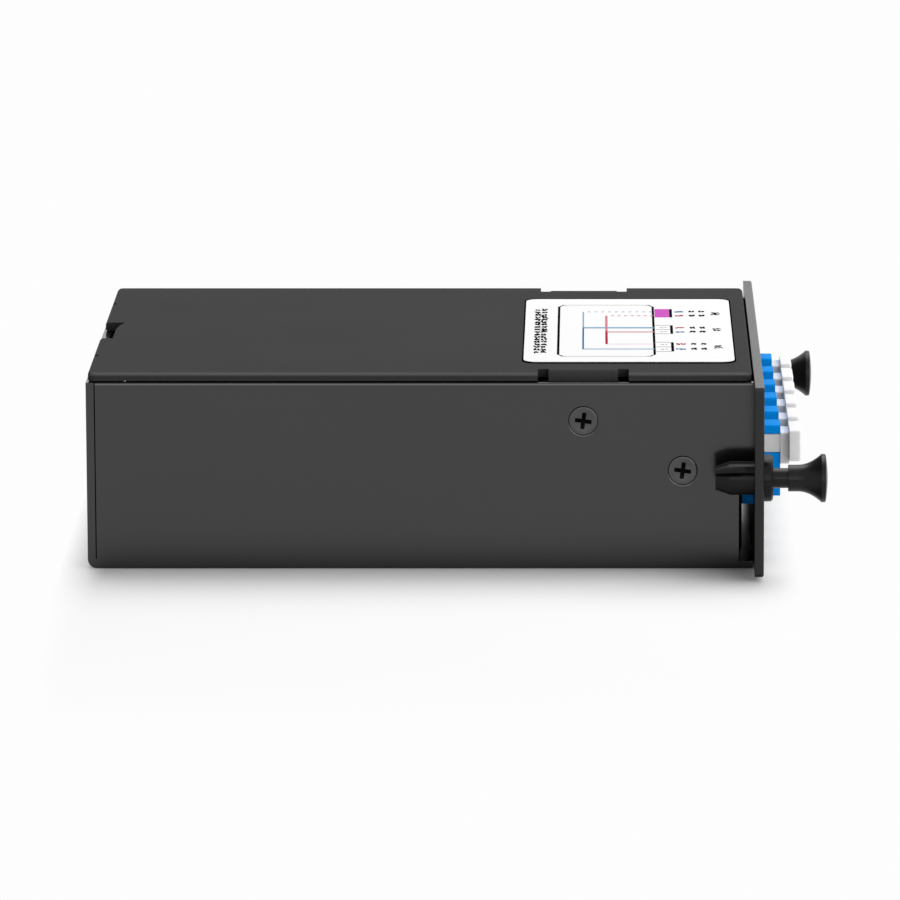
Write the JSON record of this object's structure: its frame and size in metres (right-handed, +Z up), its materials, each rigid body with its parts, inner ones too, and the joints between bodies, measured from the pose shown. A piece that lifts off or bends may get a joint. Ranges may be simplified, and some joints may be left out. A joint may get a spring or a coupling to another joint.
{
  "type": "fibre cassette",
  "caption": "Black folded-steel cassette with a screwed lid, a wide face plate with upright blue duplex adapters, white dust caps and push-in plungers.",
  "frame": {"origin": "under the middle of the whole cassette, on the surface it stands on", "axes": "+X from the rear wall towards the ports and knobs, +Y across the face plate, +Z up"},
  "size_m": [0.1302, 0.109, 0.0353],
  "materials": {
    "tray_coat": "fine satin powder coat, black",
    "lid_coat": "fine satin powder coat, black",
    "plate_coat": "fine satin powder coat, black",
    "bare_steel": "zinc plated",
    "blue_moulding": "moulded, semi gloss",
    "white_cap": "moulded, satin",
    "zirconia": "polished ceramic",
    "grommet_nylon": "moulded nylon, semi gloss",
    "plunger_nylon": "moulded nylon, semi gloss",
    "black_screw": "black oxide",
    "label_film": "printed film, satin",
    "plug_moulding": "moulded, semi gloss",
    "fibre_jacket": "tight-buffered fibre",
    "grey_moulding": "moulded",
    "coupler_steel": "drawn tube"
  },
  "bodies": {
    "cassette": {"base_tray": "tray_coat", "lid": "lid_coat", "face_plate": "plate_coat", "adapter_retainer": "bare_steel", "adapter_1": "blue_moulding", "adapter_2": "blue_moulding", "adapter_3": "blue_moulding", "adapter_4": "blue_moulding", "adapter_5": "blue_moulding", "adapter_6": "blue_moulding", "split_sleeves": "zirconia", "plunger_grommet_near": "grommet_nylon", "plunger_grommet_far": "grommet_nylon", "lid_screws": "black_screw", "plate_screws": "black_screw", "lid_nuts": "bare_steel", "plate_nuts": "bare_steel", "label": "label_film", "inner_plug_1_lower": "plug_moulding", "inner_plug_1_upper": "plug_moulding", "inner_plug_2_lower": "plug_moulding", "inner_plug_2_upper": "plug_moulding", "inner_plug_3_lower": "plug_moulding", "inner_plug_3_upper": "plug_moulding", "inner_plug_4_lower": "plug_moulding", "inner_plug_4_upper": "plug_moulding", "inner_plug_5_lower": "plug_moulding", "inner_plug_5_upper": "plug_moulding", "inner_plug_6_lower": "plug_moulding", "inner_plug_6_upper": "plug_moulding", "plug_ferrules": "zirconia", "fibre_coil": "fibre_jacket", "plug_fibres": "fibre_jacket", "coupler_fibres": "fibre_jacket", "coupler_holder": "grey_moulding", "coupler_1": "coupler_steel", "coupler_2": "coupler_steel", "coupler_3": "coupler_steel", "coupler_4": "coupler_steel", "fibre_guide_near": "grey_moulding", "fibre_guide_far": "grey_moulding"},
    "plunger_near": {"plunger_pin_near": "plunger_nylon"},
    "plunger_far": {"plunger_pin_far": "plunger_nylon"},
    "cap_1": {"dust_cap_1": "white_cap"},
    "cap_2": {"dust_cap_2": "white_cap"},
    "cap_3": {"dust_cap_3": "white_cap"},
    "cap_4": {"dust_cap_4": "white_cap"},
    "cap_5": {"dust_cap_5": "white_cap"},
    "cap_6": {"dust_cap_6": "white_cap"}
  },
  "joints": [
    {"name": "plunger_near_slide", "type": "slide", "parent": "cassette", "child": "plunger_near", "axis": [1, 0, 0], "range_m": [-0.0026, 0]},
    {"name": "plunger_far_slide", "type": "slide", "parent": "cassette", "child": "plunger_far", "axis": [1, 0, 0], "range_m": [-0.0026, 0]},
    {"name": "cap_1_slide", "type": "slide", "parent": "cassette", "child": "cap_1", "axis": [1, 0, 0], "range_m": [0, 0.012]},
    {"name": "cap_2_slide", "type": "slide", "parent": "cassette", "child": "cap_2", "axis": [1, 0, 0], "range_m": [0, 0.012]},
    {"name": "cap_3_slide", "type": "slide", "parent": "cassette", "child": "cap_3", "axis": [1, 0, 0], "range_m": [0, 0.012]},
    {"name": "cap_4_slide", "type": "slide", "parent": "cassette", "child": "cap_4", "axis": [1, 0, 0], "range_m": [0, 0.012]},
    {"name": "cap_5_slide", "type": "slide", "parent": "cassette", "child": "cap_5", "axis": [1, 0, 0], "range_m": [0, 0.012]},
    {"name": "cap_6_slide", "type": "slide", "parent": "cassette", "child": "cap_6", "axis": [1, 0, 0], "range_m": [0, 0.012]}
  ]
}
